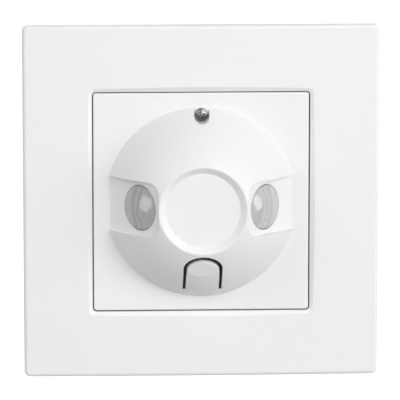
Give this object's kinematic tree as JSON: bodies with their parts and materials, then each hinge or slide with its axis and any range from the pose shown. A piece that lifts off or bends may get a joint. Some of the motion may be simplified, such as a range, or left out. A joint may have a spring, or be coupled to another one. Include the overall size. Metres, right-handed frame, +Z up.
{
  "type": "motion sensor light switch",
  "caption": "Flush wall-mounted motion sensor light switch: square frame, domed head with tilted lens panels, a push key and a recessed cover screw.",
  "frame": {"origin": "midway between the two box screws, on the back of the support plate, which is the wall's surface", "axes": "+X to the right seen from the room, +Y into the wall, +Z up"},
  "size_m": [0.086, 0.0499, 0.086],
  "materials": {
    "frame_plastic": "satin",
    "dome_plastic": "satin",
    "lens_plastic": "milky",
    "carrier_plastic": "satin",
    "housing_plastic": "satin",
    "black_plastic": "satin",
    "component_plastic": "satin",
    "steel": "zinc plated",
    "screw_steel": "polished",
    "brass": "satin",
    "circuit_board": "satin",
    "dark_window": "polished",
    "rotor_plastic": "satin",
    "clear_plastic": "clear"
  },
  "bodies": {
    "switch": {"outer_frame": "frame_plastic", "insert_plate": "frame_plastic", "sensor_dome": "dome_plastic", "lens_left": "lens_plastic", "lens_right": "lens_plastic", "cover_screw": "screw_steel", "support_plate": "steel", "carrier": "carrier_plastic", "housing": "housing_plastic", "housing_screws": "screw_steel", "terminal_block": "housing_plastic", "terminal_cages": "brass", "terminal_screws": "screw_steel", "contact_links": "brass", "claw_screw_left": "screw_steel", "claw_screw_right": "screw_steel", "claw_pins": "steel", "power_board": "circuit_board", "relay": "black_plastic", "film_capacitor": "component_plastic", "electrolytic_capacitor": "black_plastic", "fuse": "component_plastic", "choke": "component_plastic", "varistor": "component_plastic", "rectifier": "black_plastic", "sensor_board": "circuit_board", "board_screws": "screw_steel", "header_pins": "brass", "header_body": "carrier_plastic", "sensor_cradle": "black_plastic", "pir_sensor_left": "steel", "pir_sensor_right": "steel", "pir_window_left": "dark_window", "pir_window_right": "dark_window", "pir_pins": "brass", "controller_chip": "black_plastic", "switch_body": "carrier_plastic", "trimmer_time_body": "carrier_plastic", "trimmer_light_body": "carrier_plastic", "status_led": "clear_plastic", "light_sensor": "clear_plastic"},
    "key": {"push_key": "dome_plastic"},
    "plunger": {"switch_plunger": "rotor_plastic"},
    "time_rotor": {"trimmer_time_rotor": "rotor_plastic"},
    "light_rotor": {"trimmer_light_rotor": "rotor_plastic"},
    "left_claw": {"claw_left": "steel"},
    "right_claw": {"claw_right": "steel"}
  },
  "joints": [
    {"name": "key_press", "type": "hinge", "parent": "switch", "child": "key", "pos_m": [0, -0.01087, -0.0206], "axis": [-1, 0, 0], "range_deg": [0, 2.31], "stiffness_Nm_per_rad": 0.3},
    {"name": "plunger_slide", "type": "slide", "parent": "switch", "child": "plunger", "axis": [0, 1, 0], "range_m": [0, 0.00025]},
    {"name": "time_turn", "type": "hinge", "parent": "switch", "child": "time_rotor", "pos_m": [-0.0095, -0.0076, 0.011], "axis": [0, -1, 0], "range_deg": [-135, 135]},
    {"name": "light_turn", "type": "hinge", "parent": "switch", "child": "light_rotor", "pos_m": [0.0095, -0.0076, 0.011], "axis": [0, -1, 0], "range_deg": [-135, 135]},
    {"name": "left_claw_swing", "type": "hinge", "parent": "switch", "child": "left_claw", "pos_m": [-0.0268, 0.0022, 0], "axis": [0, 0, 1], "range_deg": [0, 18]},
    {"name": "right_claw_swing", "type": "hinge", "parent": "switch", "child": "right_claw", "pos_m": [0.0268, 0.0022, 0], "axis": [0, 0, -1], "range_deg": [0, 18]}
  ],
  "couplings": [
    {"joint": "plunger_slide", "follows": "key_press", "m_per_rad": 0.0062}
  ]
}
